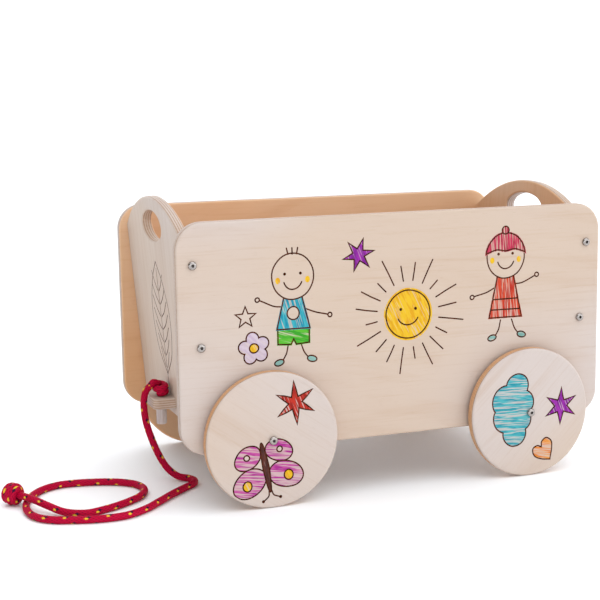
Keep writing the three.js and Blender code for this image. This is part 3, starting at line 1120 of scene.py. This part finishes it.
# The material of each slot, and of the sockets in the bolt heads, whose dark colour is painted
# shade in the recess.
FINISHES = {
    "bolt_chrome": metal_material("chrome_bolt", screen_colour(196, 190, 188), 0.05, 0.06),
    "socket": metal_material("socket_painted_shade", screen_colour(84, 78, 76), 0.3, 0.2),
    "zinc_steel": metal_material("zinc_steel_finish", screen_colour(180, 182, 186), 0.35, 0.15),
    "nylon": mottled_material(
        "nylon_white", (screen_colour(236, 233, 226), screen_colour(222, 218, 208)),
        (400.0, 400.0, 400.0), 3.0, (0.3, 0.7), (0.4, 0.5), {"Subsurface Weight": 0.1}),
    "dowel": mottled_material(
        "beech_dowel", (screen_colour(240, 231, 231), screen_colour(216, 200, 192)),
        (900.0, 900.0, 60.0), 3.0, (0.4, 0.7), (0.5, 0.62), {}, relief=0.08),
}


def bolt_rows(length):
    """A button-head bolt with a hexagon socket, its head's underside at height 0."""
    shank, head, rim = BOLT["shank"], BOLT["head"], BOLT["rim"]
    dome, flat = BOLT["dome"], BOLT["flat"]
    rows = [(shank - 0.5, -length), (shank, 0.6 - length), (shank, 0)]
    rows += [(head - 0.25, 0), (head, 0.25)]
    for i in range(9):
        angle = pi / 2 * i / 10
        rows.append((flat + (head - flat) * cos(angle), rim + (dome - rim) * sin(angle)))
    socket = BOLT["socket"] / cos(pi / 6)
    rows += [(socket + 0.35, dome), (socket, dome - 0.25, 1)]
    return rows + [(socket, dome - BOLT["socket_depth"], 1)]


def hardware(node, place, rows, slot, closed=False):
    """A turned piece of the root body. Closed means a ring, without end faces."""
    # The recess rows of a bolt head take the dark socket colour, which is painted shade.
    paints = {"finish": FINISHES[slot], "recess": FINISHES["socket"]}
    piece = new_piece(node, turned_shell(rows, closed), paints, place)
    piece.data.set_sharp_from_angle(angle=radians(32))


def ring_rows(inner, outer, low, high, chamfer=0.3):
    """A washer or sleeve with its outer edges broken."""
    return [
        (inner, low), (outer - chamfer, low), (outer, low + chamfer),
        (outer, high - chamfer), (outer - chamfer, high), (inner, high)]


def tee_nut_rows():
    """A tee nut, with its heights from the outer face of the panel that it is driven into."""
    bore, flange, barrel = TEE_NUT["bore"], TEE_NUT["flange"], TEE_NUT["barrel"]
    back, seat, end = -TEE_NUT["back"], -TEE_NUT["seat"], -TEE_NUT["end"]
    return [
        (bore, back), (flange - 0.3, back), (flange, back + 0.3), (flange, seat),
        (barrel, seat), (barrel, end - 0.2), (barrel - 0.2, end), (bore, end)]


def reach_of(node):
    """How near the wagon's middle plane and how far from it a piece lies."""
    low, high = box_of(node)
    return sorted((abs(low.y), abs(high.y)))


def add_bolt(node, side):
    """A bolt whose head faces out of the box at that side."""
    middle = middle_of(node)
    tip, crown = reach_of(node)
    seat = crown - BOLT["dome"]
    place = axes(*outward(side), Vector((middle.x, side * seat, middle.z)))
    hardware(node, place, bolt_rows(seat - tip), "bolt_chrome")


def add_axle(end_name, side_name, side):
    """A wheel's bolt and what it turns on. Their heights are from the side panel's face."""
    corner = f"{end_name}_{side_name}"
    wheel = middle_of("wheel_" + corner)
    panel_out = reach_of("side_panel_" + side_name)[1]
    face = axes(*outward(side), Vector((wheel.x, side * panel_out, wheel.z)))
    add_bolt("axle_bolt_" + corner, side)
    sleeve = ring_rows(SLEEVE["bore"], SLEEVE["radius"], GAP, SLEEVE["length"], 0.1)
    hardware("axle_sleeve_" + corner, face, sleeve, "nylon", True)
    washer = ring_rows(WASHER["bore"], WASHER["radius"], GAP, WASHER["thick"])
    hardware("spacer_washer_" + corner, face, washer, "nylon", True)
    hardware("tee_nut_" + corner, face, tee_nut_rows(), "zinc_steel", True)


def add_panel_bolt(end_name, side_name, level):
    """A bolt through a side panel and the barrel nut that it pulls on in the end panel."""
    spot = f"{end_name}_{side_name}_{level}"
    add_bolt("panel_bolt_" + spot, SIDES[side_name])
    node = "barrel_nut_" + spot
    radius, half = BARREL_NUT["radius"], BARREL_NUT["length"] / 2
    nut = [
        (radius - 0.3, -half), (radius, 0.3 - half), (radius, half - 0.3),
        (radius - 0.3, half), (1.2, half), (0.2, half - 0.8)]
    nut_place = axes(*leaning(ENDS[end_name]), middle_of(node))
    hardware(node, nut_place @ turn_by(180, "X"), nut, "zinc_steel")


def add_stopper():
    """The dowel under the tab, bored from its top for the rope's tail."""
    low, high = box_of("rope_stopper")
    radius, bore, bottom = STOPPER["radius"], STOPPER["bore"], high.z - STOPPER["bore_depth"]
    rows = [
        (0.2, low.z + 0.1), (radius - 0.8, low.z), (radius, low.z + 0.8),
        (radius, high.z - 0.5), (radius - 0.5, high.z), (bore, high.z), (bore, bottom),
        (0.2, bottom)]
    place = Matrix.Translation(((low.x + high.x) / 2, 0, 0))
    hardware("rope_stopper", place, rows, "dowel")


for end_name in ENDS:
    for side_name, side in SIDES.items():
        add_axle(end_name, side_name, side)
        for level in BOLT_LEVELS:
            add_panel_bolt(end_name, side_name, level)

add_stopper()

# ---- studio ----

STAGE = {"white": (0.97, 0.97, 0.97, 1), "roughness": 0.7, "half": 30.0}
ROOM = {"white": (0.973, 1.0, 1.035, 1), "horizon": 2.2, "wall": 0.80, "ceiling": 1.05}
KEY_LIGHT = {"energy": 0.25, "angle": 50, "from": (0.35, -0.65, 1.0)}


def add_floor_stage():
    made, _, shader = new_material("studio_floor")
    shader.inputs["Base Color"].default_value = STAGE["white"]
    shader.inputs["Roughness"].default_value = STAGE["roughness"]
    mesh = bpy.data.meshes.new("studio_floor")
    square = rectangle(STAGE["half"], -STAGE["half"], STAGE["half"])
    mesh.from_pydata(at_height(square, 0), [], [(0, 1, 2, 3)])
    mesh.materials.append(made)
    add_object("studio_floor", mesh)


def add_room():
    """White light from all around, strongest near the horizon and overhead, and weaker from
    beyond the rope end."""
    world = bpy.data.worlds.new("studio")
    bpy.context.scene.world = world
    world.use_nodes = True
    tree = world.node_tree
    way = add(tree, "TexCoord", {}).outputs["Generated"]
    rise = add(tree, "SeparateXYZ", {0: way}).outputs["Z"]
    to_dark_side = add(
        tree, "VectorMath", {0: way, 1: (-1.0, 0.1, 0)}, operation="DOT_PRODUCT")
    shade = math_node(
        tree, "MULTIPLY", ramp(tree, to_dark_side.outputs["Value"], 0.1, 0.9),
        ramp(tree, rise, 0.12, 0.28, 0.5, 0.95))
    wall = math_node(
        tree, "MULTIPLY", ramp(tree, rise, 0.22, 0.50, ROOM["horizon"], ROOM["wall"]),
        math_node(tree, "SUBTRACT", 1.0, shade))
    ceiling = ramp(tree, rise, 0.50, 0.85, 0.0, ROOM["ceiling"])
    tree.links.new(
        math_node(tree, "ADD", wall, ceiling), tree.nodes["Background"].inputs["Strength"])
    tree.nodes["Background"].inputs["Color"].default_value = ROOM["white"]


def add_key_light():
    data = bpy.data.lights.new("key", "SUN")
    data.energy = KEY_LIGHT["energy"]
    data.angle = radians(KEY_LIGHT["angle"])
    key = add_object("key", data)
    key.rotation_mode = "QUATERNION"
    key.rotation_quaternion = Vector(KEY_LIGHT["from"]).to_track_quat("Z", "Y")


add_floor_stage()
add_room()
add_key_light()
bpy.context.scene.view_settings.view_transform = "Standard"
